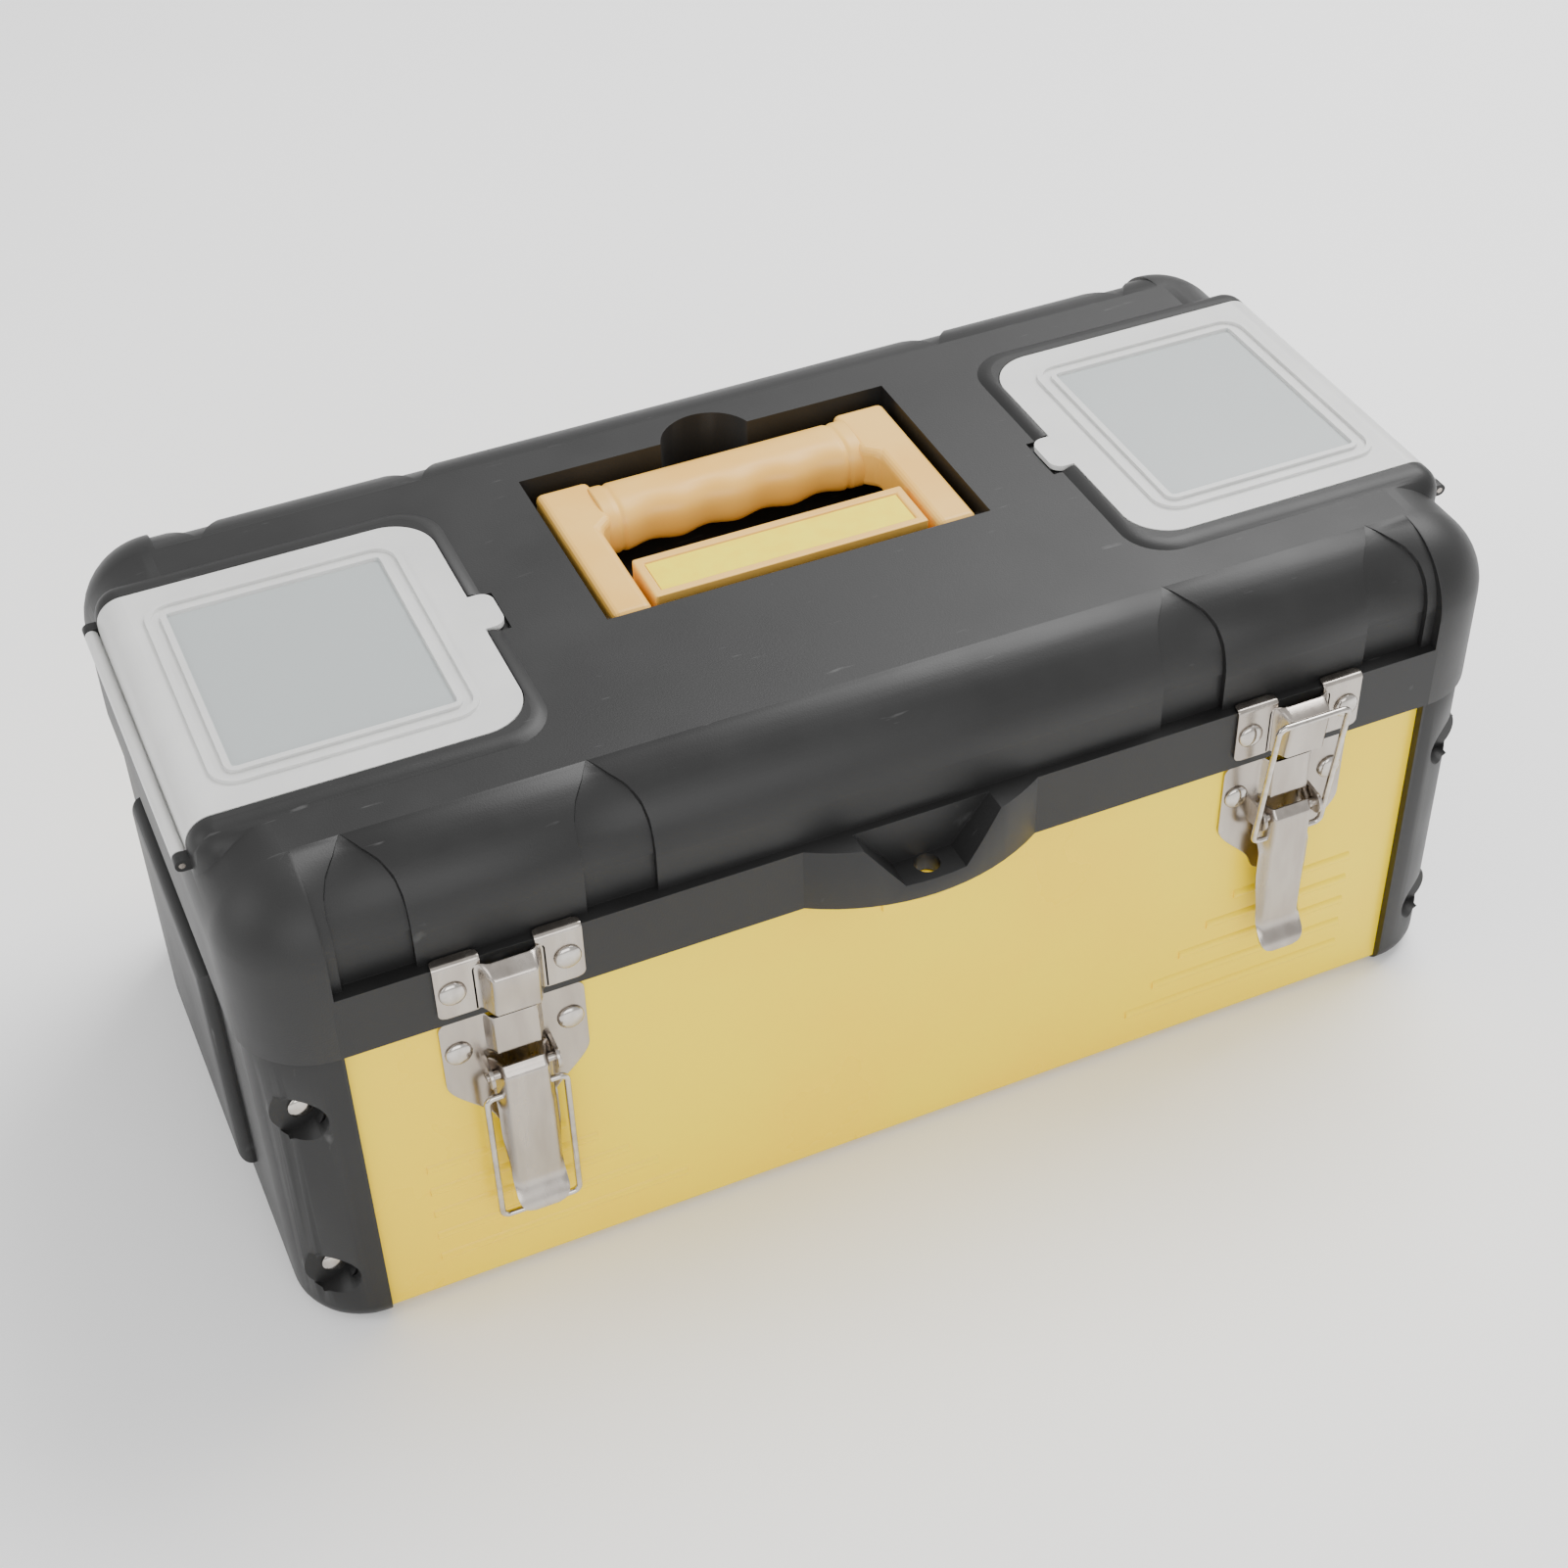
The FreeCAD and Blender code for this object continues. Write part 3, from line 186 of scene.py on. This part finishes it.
def makeMaterial(name, look):
    # a Principled shader whose colour, roughness and bump come from noise in Object coordinates
    material = bpy.data.materials.new(name)
    material.use_nodes = True
    tree = material.node_tree
    shader = tree.nodes["Principled BSDF"]
    place = addNode(tree, "ShaderNodeTexCoord").outputs["Object"]
    if look.get("stretch"):
        place = addNode(tree, "ShaderNodeMapping", {"Scale": look["stretch"]},
                        {"Vector": place}).outputs["Vector"]
    cloud = addNode(tree, "ShaderNodeTexNoise", {"Scale": 1 / (look["cloudMm"] * mm),
                                                 "Detail": 4.0}, {"Vector": place})
    ramp = addNode(tree, "ShaderNodeValToRGB", None, {"Fac": cloud.outputs["Fac"]})
    ramp.color_ramp.elements[0].position = 0.35
    ramp.color_ramp.elements[1].position = 0.65
    ramp.color_ramp.elements[0].color = linearColour(look["dark"])
    ramp.color_ramp.elements[1].color = linearColour(look["light"])
    colour = ramp.outputs["Color"]
    if look.get("scuff"):
        # short pale scuffs: stretched noise, kept only at its peaks
        thin = addNode(tree, "ShaderNodeMapping", {"Scale": (60, 400, 60),
                                                   "Rotation": (0.3, 0.2, 0.7)},
                       {"Vector": addNode(tree, "ShaderNodeTexCoord").outputs["Object"]})
        scratch = addNode(tree, "ShaderNodeTexNoise", {"Scale": 1.0, "Detail": 3.0},
                          {"Vector": thin.outputs["Vector"]})
        peaks = addNode(tree, "ShaderNodeMapRange", {"From Min": 0.70, "From Max": 0.78,
                                                     "To Max": look["scuff"]},
                        {"Value": scratch.outputs["Fac"]})
        colour = blended(tree, peaks.outputs["Result"], colour, look["scuffColour"])
    if look.get("paneShade"):
        # a greyer patch in the middle of each cover: painted shade for the dark well seen through a
        # clearer pane; the cover keeps one thickness and one transmission
        paneShade = look["paneShade"]
        parts = addNode(tree, "ShaderNodeSeparateXYZ", None, {"Vector": place}).outputs
        acrossBox = addNode(tree, "ShaderNodeMath", {"operation": "ABSOLUTE"},
                            {0: parts["X"]}).outputs[0]
        masks = [inside(tree, acrossBox, paneShade["x"], paneShade["halfX"]),
                 inside(tree, parts["Y"], paneShade["y"], paneShade["halfY"])]
        # mask of the pane where the painted shade is laid
        paneShadeMask = addNode(tree, "ShaderNodeMath", {"operation": "MULTIPLY"},
                       {0: masks[0], 1: masks[1]}).outputs[0]
        colour = blended(tree, paneShadeMask, colour, paneShade["colour"])
    tree.links.new(colour, shader.inputs["Base Color"])
    rough = addNode(tree, "ShaderNodeMapRange", {
        "From Min": 0.3, "From Max": 0.7, "To Min": look["rough"][0], "To Max": look["rough"][1]},
        {"Value": cloud.outputs["Fac"]})
    tree.links.new(rough.outputs["Result"], shader.inputs["Roughness"])
    grain = addNode(tree, "ShaderNodeTexNoise", {"Scale": 1 / (look["grainMm"] * mm),
                                                 "Detail": 2.0}, {"Vector": place})
    bump = addNode(tree, "ShaderNodeBump", {"Strength": look["bump"], "Distance": 0.1 * mm},
                   {"Height": grain.outputs["Fac"]})
    tree.links.new(bump.outputs["Normal"], shader.inputs["Normal"])
    for socket, value in look.get("sockets", {}).items():
        shader.inputs[socket].default_value = value
    return material


looks = {
    # polypropylene moulded against a spark-eroded tool: a fine matt grain, soft highlights
    "polypropylene moulded black": {
        "dark": "#1C1C1C", "light": "#222222", "rough": (0.42, 0.52), "cloudMm": 40,
        "grainMm": 0.55, "bump": 0.35, "scuff": 0.3, "scuffColour": "#6A6A6A",
        "sockets": {"IOR": 1.49, "Specular IOR Level": 0.35}},
    # powder coat on sheet steel: even, glossy, a trace of orange peel
    "powder coated steel yellow": {
        "dark": "#FFD800", "light": "#FFDF00", "rough": (0.26, 0.34), "cloudMm": 60,
        "grainMm": 2.2, "bump": 0.06, "sockets": {"IOR": 1.5, "Specular IOR Level": 0.35}},
    # polypropylene moulded tan: smooth, slightly waxy
    "polypropylene moulded tan": {
        "dark": "#EFB750", "light": "#F3C05E", "rough": (0.38, 0.46), "cloudMm": 30,
        "grainMm": 0.5, "bump": 0.12, "sockets": {"IOR": 1.49}},
    # natural polypropylene: milky, lets some light through
    "polypropylene natural translucent": {
        "dark": "#ECECEA", "light": "#F2F2F0", "rough": (0.34, 0.42), "cloudMm": 25,
        # the greyer pane colour is painted shade for the well seen through the cover
        "paneShade": {"x": 160.5, "halfX": 35.5, "y": 2.5, "halfY": 41, "colour": "#C2C8C8"},
        "grainMm": 0.8, "bump": 0.05, "sockets": {"IOR": 1.49, "Transmission Weight": 0.32}},
    # nickel plate on pressed steel: warm grey, bright at the bends
    "nickel plated steel": {
        "dark": "#A39B93", "light": "#B7B0A8", "rough": (0.2, 0.3), "cloudMm": 8,
        "grainMm": 1.2, "bump": 0.05, "stretch": (1, 1, 0.2), "sockets": {"Metallic": 1.0}},
    # the same plate on rivets and pins, polished by the riveting
    "nickel plated rivet steel": {
        "dark": "#B2ACA5", "light": "#C9C4BE", "rough": (0.12, 0.2), "cloudMm": 4,
        "grainMm": 1.0, "bump": 0.03, "sockets": {"Metallic": 1.0}},
    # varnished card in the plate's window
    "varnished card yellow": {
        "dark": "#FFE100", "light": "#FFE900", "rough": (0.3, 0.4), "cloudMm": 6,
        "grainMm": 0.4, "bump": 0.05, "sockets": {"IOR": 1.5}},
}
materials = {name: makeMaterial(name, look) for name, look in looks.items()}
blackPlastic = materials["polypropylene moulded black"]
nickel = materials["nickel plated steel"]
rivetSteel = materials["nickel plated rivet steel"]
slotMaterials = {
    "black_pp": blackPlastic, "yellow_paint": materials["powder coated steel yellow"],
    "tan_pp": materials["polypropylene moulded tan"],
    "yellow_card": materials["varnished card yellow"],
    "clear_pp": materials["polypropylene natural translucent"], "nickel_steel": nickel}


def dress(thing, material, body=None):
    thing.data.materials.clear()
    thing.data.materials.append(material)
    if body:
        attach(thing, body)
    return thing


for entry in frame["record"]["subparts"]:
    dress(nodes[entry["node"]], slotMaterials[entry["material_slot"]])
print("materials:", len(materials))

# ---- CAD nodes that keep their shape get their moulded and folded edges
softEdges = {
    "lid_shell": 0.45, "right_end_cap": 0.6, "left_end_cap": 0.6, "label_plate": 0.7,
    "tray_tub": 0.5, "tray_handle": 1.0, "tray_dividers": 0.3, "right_organizer_lid": 0.3,
    "left_organizer_lid": 0.3, "right_well_divider": 0.3, "left_well_divider": 0.3,
    "hasp_eye": 0.3, "right_hinge_lid_leaf": 0.25, "left_hinge_lid_leaf": 0.25,
    "right_hinge_body_leaf": 0.25, "left_hinge_body_leaf": 0.25, "label_card": 0.1}
for nodeName, width in softEdges.items():
    bevelled(nodes[nodeName], width * mm, 2, 40)

# ---- carrying handle
handle = {"edge": 2.6, "gripHalf": 45.5, "collar": 3.5, "squareness": 2.7,
          "waves": 4, "waveDeep": 1.7, "armWide": 14, "cornerWide": 19.5, "gripDrop": 0.3,
          "gripDeep": 25, "armTopDrop": 1.3, "armBottomRise": 3.5}


def prism(name, outline, low, high):
    mesh = bpy.data.meshes.new(name)
    count = len(outline)
    verts = [(x, y, z) for z in (low, high) for x, y in outline]
    faces = [tuple(range(count))[::-1], tuple(range(count, 2 * count))]
    faces += [(i, (i + 1) % count, (i + 1) % count + count, i + count) for i in range(count)]
    mesh.from_pydata(verts, [], faces)
    thing = bpy.data.objects.new(name, mesh)
    bpy.context.scene.collection.objects.link(thing)
    return thing


def makeHandle():
    low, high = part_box("handle")
    outer, front, back = high.x, low.y, high.y
    inner = outer - handle["armWide"] * mm
    corner = outer - handle["cornerWide"] * mm
    gripFront = back - handle["gripDeep"] * mm
    top = high.z - handle["armTopDrop"] * mm
    bottom = low.z + handle["armBottomRise"] * mm
    for side, label in ((1, "right"), (-1, "left")):
        outline = [(outer, front), (outer, back), (corner, back), (corner, gripFront + 1.5 * mm),
                   (inner, gripFront - 3 * mm), (inner, front)]
        arm = prism(f"handle_{label}_arm", [(side * x, y) for x, y in outline][::side],
                    bottom, top)
        bevelled(arm, handle["edge"] * mm, 4, 30, weld=False)
        dress(arm, slotMaterials["tan_pp"], "carry_handle")
        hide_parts("handle")
    # the grip: a superellipse carried along X, waved where the fingers close round it
    reach = corner + 2 * mm
    x = np.linspace(-reach, reach, 161)[:, None]
    turn = np.linspace(0, 2 * np.pi, 64, endpoint=False)[None, :]
    power = 2 / handle["squareness"]
    cy, cz = (back + gripFront) / 2, (high.z + low.z) / 2
    ry = (back - gripFront) / 2 - 0.2 * mm
    rz = (high.z - low.z) / 2 - handle["gripDrop"] * mm
    ey = np.sign(np.cos(turn)) * np.abs(np.cos(turn)) ** power
    ez = np.sign(np.sin(turn)) * np.abs(np.sin(turn)) ** power
    waveSpan = handle["gripHalf"] * mm - handle["collar"] * mm
    phase = np.clip(x / waveSpan, -1, 1)
    wave = 0.5 + 0.5 * np.cos(phase * np.pi * handle["waves"] + np.pi * (handle["waves"] - 1))
    fingerSide = np.clip(-ey * 0.9 - ez * 0.35, 0, 1) ** 0.7
    pull = handle["waveDeep"] * mm * wave * fingerSide * (np.abs(x) < waveSpan)
    groove = np.exp(-((np.abs(x) - waveSpan) / (0.8 * mm)) ** 2) * 0.7 * mm
    shrink = pull + groove
    y = cy + ey * (ry - shrink)
    z = cz + ez * (rz - shrink * 0.7)
    grip = np.stack([np.broadcast_to(x, y.shape), y, z], -1)
    ends = [np.broadcast_to(np.array([[s * reach, cy, cz]]), (64, 3))[None] for s in (-1, 1)]
    bar = weldedObject("handle_grip", [(np.concatenate([ends[0], grip, ends[1]]), False, True)])
    dress(bar, slotMaterials["tan_pp"], "carry_handle")
    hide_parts("handle")


makeHandle()
print("handle made")

# ---- rivets
rivet = {"edge": 0.35, "steps": 10, "around": 36}


def domePatch(centre, radius, height, facing):
    # a pressed rivet head: flat back, short upright edge, then a quarter ellipse to the crown
    angle = np.linspace(0, np.pi / 2, rivet["steps"])
    r = np.concatenate([[0, radius * 0.98, radius], radius * np.cos(angle)[1:]])
    h = np.concatenate([[0, 0, rivet["edge"] * mm],
                        rivet["edge"] * mm + (height - rivet["edge"] * mm) * np.sin(angle)[1:]])
    turn = np.linspace(0, 2 * np.pi, rivet["around"], endpoint=False)[None, :]
    x = centre[0] + r[:, None] * np.cos(turn)
    z = centre[2] + r[:, None] * np.sin(turn)
    y = centre[1] + facing * np.broadcast_to(h[:, None], x.shape)
    return np.stack([x, y, z], -1), False, True


def makeRivets(node, body, xs, zs, faces):
    # faces: (y of the plate, which way the head stands out)
    patches = [domePatch((x, y, z), xs["radius"], xs["height"], way)
               for x in xs["at"] for z in zs for y, way in faces]
    heads = weldedObject(f"{node}_heads", patches)
    dress(heads, rivetSteel, body)
    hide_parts(node)


for side in ("right", "left"):
    for node, body in ((f"{side}_latch_rivets", "base"), (f"{side}_keeper_rivets", "lid")):
        low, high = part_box(node)
        radius = (high.z - low.z) / 2
        makeRivets(node, body, {"at": (low.x + radius, high.x - radius), "radius": radius,
                                "height": high.y - low.y}, (low.z + radius,), ((high.y, -1),))
    node = f"{side}_cap_rivets"
    low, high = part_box(node)
    radius = (high.x - low.x) / 2
    makeRivets(node, "base", {"at": ((low.x + high.x) / 2,), "radius": radius, "height": 2 * mm},
               (low.z + radius, high.z - radius), ((low.y + 2 * mm, -1), (high.y - 2 * mm, 1)))
for node, body in (("hinge_lid_rivets", "lid"), ("hinge_body_rivets", "base")):
    low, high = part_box(node)
    radius = (high.z - low.z) / 2
    gap = 30 * mm
    makeRivets(node, body, {"at": (low.x + radius, low.x + radius + gap, high.x - radius,
                                   high.x - radius - gap), "radius": radius,
                            "height": high.y - low.y}, (low.z + radius,), ((low.y, 1),))
print("rivets made")

# ---- latches
latch = {"sheet": 1.2, "corner": 3.5, "humpHalf": 9.3, "humpOut": 4.2, "bend": 2.2,
         "keeperHump": 7.2, "turnIn": 3.2, "tongueHalf": 9, "waistDrop": 27, "earRadius": 4,
         "toeOut": 4.2, "toeLong": 11, "wingHalf": 7.4, "hookHalf": 11.5, "wire": 1.1,
         "wireCorner": 2.6}


def sheetPatches(x, outward, z, faceY, thickness):
    # a pressed sheet: outward is how far its face stands in front of faceY, at each x and z
    y = faceY - outward
    outer = np.stack([x, y, z], -1)
    along = np.gradient(outer, axis=0)
    across = np.gradient(outer, axis=1)
    normal = np.cross(along, across)
    normal /= np.maximum(np.linalg.norm(normal, axis=-1, keepdims=True), 1e-12)
    normal *= np.sign(-normal[..., 1:2].mean() or 1)
    inner = outer - normal * thickness
    return closedSheet(outer, inner)


def smoothStep(value, start, end):
    t = np.clip((value - start) / (end - start), 0, 1)
    return t * t * (3 - 2 * t)


def stripGrid(halfWidth, rows, columns=41):
    # u runs across the strip from edge to edge; halfWidth gives each row's half width
    u = np.linspace(-1, 1, columns)[None, :]
    return halfWidth[:, None] * u, np.broadcast_to(rows[:, None], (len(rows), columns))


def makeLatch(side):
    thick = latch["sheet"] * mm
    # base plate on the trough: full width above, a tongue below, a hump in the middle
    low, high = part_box(f"{side}_latch_base")
    middle = (low.x + high.x) / 2
    faceY = high.y
    fullHalf = (high.x - low.x) / 2
    waist = high.z - latch["waistDrop"] * mm
    tongue = latch["tongueHalf"] * mm
    rows = np.linspace(low.z, high.z, 61)
    taper = smoothStep(rows, low.z + 3 * mm, waist)
    half = tongue + (fullHalf - tongue) * taper
    half -= rounding(high.z - rows, latch["corner"] * mm) + rounding(rows - low.z, 5 * mm)
    x, z = stripGrid(half, rows)
    humpHalf = latch["humpHalf"] * mm
    hump = 1 - smoothStep(np.abs(x), humpHalf - latch["bend"] * mm, humpHalf)
    hump = hump * smoothStep(z, high.z - 18 * mm, high.z - 15.5 * mm)
    plate = sheetPatches(x + middle, thick + hump * latch["humpOut"] * mm, z, faceY, thick)
    # ears that hold the lever's pin
    pinLow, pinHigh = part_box(f"{side}_lever_pin")
    pinY, pinZ = (pinLow.y + pinHigh.y) / 2, (pinLow.z + pinHigh.z) / 2
    earHalf = (pinHigh.x - pinLow.x) / 2 - 0.6 * mm
    turn = np.linspace(0, np.pi, 17)
    for way in (-1, 1):
        radius = latch["earRadius"] * mm
        profileY = np.concatenate([[faceY], pinY - radius * np.sin(turn), [faceY]])
        profileZ = np.concatenate([[pinZ - radius - 1.5 * mm], pinZ - radius * np.cos(turn),
                                   [pinZ + radius + 0.5 * mm]])
        loop = np.stack([profileY, profileZ], -1)
        centre = np.broadcast_to(loop.mean(0), loop.shape)
        rings = []
        for xAt, scale in ((earHalf - thick, 0), (earHalf - thick, 1), (earHalf, 1), (earHalf, 0)):
            shape = centre + (loop - centre) * scale
            rings.append(np.c_[np.full(len(shape), middle + way * xAt), shape])
        plate.append((np.array(rings), False, True))
    base = weldedObject(f"{side}_latch_plate", plate)
    bevelled(base, 0.3 * mm, 2, 50, weld=False)
    dress(base, nickel, "base")
    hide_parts(f"{side}_latch_base")

    # lever: a strip turned back along its sides, flared out at its toe
    low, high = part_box(f"{side}_latch_lever")
    toeZ, topZ = low.z, high.z
    leverHalf = (high.x - low.x) / 2
    flatY = low.y + 4.4 * mm
    s = np.linspace(0, 1, 81)
    rows = toeZ + (topZ - toeZ) * s
    flare = 1 - smoothStep(rows, toeZ, toeZ + latch["toeLong"] * mm)
    flare = flare * latch["toeOut"] * mm
    roll = smoothStep(rows, topZ - 3.5 * mm, topZ) * 2.4 * mm
    half = leverHalf - 1.1 * mm * smoothStep(-rows, -(toeZ + 34 * mm), -(toeZ + 14 * mm))
    half = half - rounding(rows - toeZ, 6 * mm) * 0.8
    x, z = stripGrid(half, rows, 49)
    edge = smoothStep(np.abs(x), leverHalf - 3.4 * mm, leverHalf)
    depth = latch["turnIn"] * mm + 2.4 * mm * smoothStep(z, topZ - 20 * mm, topZ - 14 * mm)
    depth = depth * smoothStep(z, toeZ + 3 * mm, toeZ + 16 * mm)
    outward = flare[:, None] - roll[:, None] - edge * depth
    lever = weldedObject(f"{side}_lever_strip", sheetPatches(x + middle, outward, z, flatY,
                                                            thick * 0.8))
    bevelled(lever, 0.25 * mm, 2, 50, weld=False)
    dress(lever, nickel, f"{side}_lever")
    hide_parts(f"{side}_latch_lever")

    # keeper on the lid's rim: two riveted wings folded over the ledge and a raised hook
    low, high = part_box(f"{side}_keeper")
    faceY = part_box(f"{side}_keeper_rivets")[1].y + thick
    wingHalf = latch["wingHalf"] * mm
    patches = []
    path = roundedPath([(thick, low.z, 0), (thick, high.z - thick * 0.05, 0),
                        (-(high.y - faceY), high.z - thick * 0.05, 0)], 1.6 * mm, 8)
    stretch = np.concatenate([[0], np.cumsum(np.linalg.norm(np.diff(path, axis=0), axis=1))])
    fine = np.linspace(0, stretch[-1], 50)
    out = np.interp(fine, stretch, path[:, 0])
    rows = np.interp(fine, stretch, path[:, 1])
    half = wingHalf - rounding(fine, 2.5 * mm) - rounding(stretch[-1] - fine, 2 * mm)
    for way in (-1, 1):
        x, z = stripGrid(half, rows, 15)
        outer = np.stack([x + middle + way * (fullHalf - wingHalf), faceY - out[:, None] + 0 * x,
                          z], -1)
        tangent = np.gradient(np.stack([out, rows], -1), axis=0)
        tangent /= np.linalg.norm(tangent, axis=1)[:, None]
        inward = np.stack([np.zeros(len(rows)), tangent[:, 1], tangent[:, 0]], -1)
        patches += closedSheet(outer, outer + inward[:, None] * thick * 0.95)
    rows = np.linspace(low.z + 0.5 * mm, high.z - 2.5 * mm, 61)
    half = np.full(rows.shape, latch["hookHalf"] * mm) - rounding(high.z - 2.5 * mm - rows, 3 * mm)
    x, z = stripGrid(half, rows)
    hump = 1 - smoothStep(np.abs(x), 6.6 * mm, 10.4 * mm)
    crown = smoothStep(high.z - 2.5 * mm - z, 0, 3.5 * mm)
    rise = latch["keeperHump"] * mm * (0.82 + 0.18 * smoothStep(z, low.z, high.z - 6 * mm))
    outward = thick + hump * rise * (0.25 + 0.75 * np.sqrt(crown))
    patches += sheetPatches(x + middle, outward, z, faceY, thick)
    keeper = weldedObject(f"{side}_keeper_hook", patches)
    bevelled(keeper, 0.25 * mm, 2, 50, weld=False)
    dress(keeper, nickel, "lid")
    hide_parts(f"{side}_keeper")

    # wire bail: a rounded U whose ends turn in through the lever's sides
    low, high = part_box(f"{side}_bail")
    wire = latch["wire"] * mm
    nearZ, farZ = (low.z + wire, high.z - wire)
    nearY, farY = (high.y - wire, low.y + wire)
    if side == "left":
        nearZ, farZ = farZ, nearZ
        farY = nearY
    bailHalf = (high.x - low.x) / 2 - wire
    inner = bailHalf - 5 * mm
    corners = [(-inner, nearY, nearZ), (-bailHalf, nearY, nearZ), (-bailHalf, farY, farZ),
               (bailHalf, farY, farZ), (bailHalf, nearY, nearZ), (inner, nearY, nearZ)]
    path = roundedPath([(x + middle, y, z) for x, y, z in corners],
                       latch["wireCorner"] * mm, 9)
    plane = np.cross([1, 0, 0], [0, farY - nearY, farZ - nearZ])
    bail = weldedObject(f"{side}_bail_wire", [tubePatch(path, wire, plane)])
    dress(bail, rivetSteel, f"{side}_wire")
    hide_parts(f"{side}_bail")


for side in ("right", "left"):
    makeLatch(side)
print("latches made")

# ---- floor, light and camera
stage = {"floorSize": 8.0, "world": "#FFFFFF", "worldStrength": 0.85}
floorMesh = bpy.data.meshes.new("floor")
edge = stage["floorSize"]
floorMesh.from_pydata([(-edge, -edge, 0), (edge, -edge, 0), (edge, edge, 0), (-edge, edge, 0)],
                      [], [(0, 1, 2, 3)])
floor = bpy.data.objects.new("floor", floorMesh)
bpy.context.scene.collection.objects.link(floor)
paper = makeMaterial("matt studio paper", {
    "dark": "#FCFCFC", "light": "#FFFFFF", "rough": (0.85, 0.95), "cloudMm": 400,
    "grainMm": 3, "bump": 0.02})
floorMesh.materials.append(paper)

world = bpy.data.worlds.new("studio")
bpy.context.scene.world = world
world.use_nodes = True
sky = world.node_tree.nodes["Background"]
sky.inputs["Color"].default_value = linearColour(stage["world"])
sky.inputs["Strength"].default_value = stage["worldStrength"]


lights = {
    "key": {"place": (0.9, 0.5, 1.5), "size": (1.2, 1.0), "power": 40},
    "front": {"place": (-0.3, -1.6, 0.9), "size": (1.6, 1.0), "power": 16},
    "side": {"place": (-1.5, 0.1, 0.9), "size": (0.9, 0.9), "power": 8}}


def softbox(name, place, size, power):
    # a rectangular lamp turned to the middle of the box
    target = Vector((0, 0, 0.1))
    light = bpy.data.lights.new(name, "AREA")
    light.shape = "RECTANGLE"
    light.size, light.size_y = size
    light.energy = power
    lamp = bpy.data.objects.new(name, light)
    lamp.location = place
    lamp.rotation_euler = (target - Vector(place)).to_track_quat("-Z", "Y").to_euler()
    bpy.context.scene.collection.objects.link(lamp)


for lampName, lamp in lights.items():
    softbox(lampName, **lamp)

view = {"place": (-0.2714, -0.6417, 0.6955), "azimuth": -22.769, "elevation": 41.528,
        "roll": -1.715, "lens": 59.74}
cameraData = bpy.data.cameras.new("camera")
cameraData.lens = view["lens"]
cameraData.sensor_width = 36
cameraData.clip_end = 50
camera = bpy.data.objects.new("camera", cameraData)
a, e, r = (math.radians(view[key]) for key in ("azimuth", "elevation", "roll"))
back = Vector((math.sin(a) * math.cos(e), -math.cos(a) * math.cos(e), math.sin(e)))
level = (-back).cross(Vector((0, 0, 1))).normalized()
upward = level.cross(-back)
acrossView = math.cos(r) * level + math.sin(r) * upward
upView = -math.sin(r) * level + math.cos(r) * upward
turned = Matrix((acrossView, upView, back)).transposed().to_4x4()
camera.matrix_world = Matrix.Translation(view["place"]) @ turned
bpy.context.scene.collection.objects.link(camera)
bpy.context.scene.camera = camera
print("stage set")
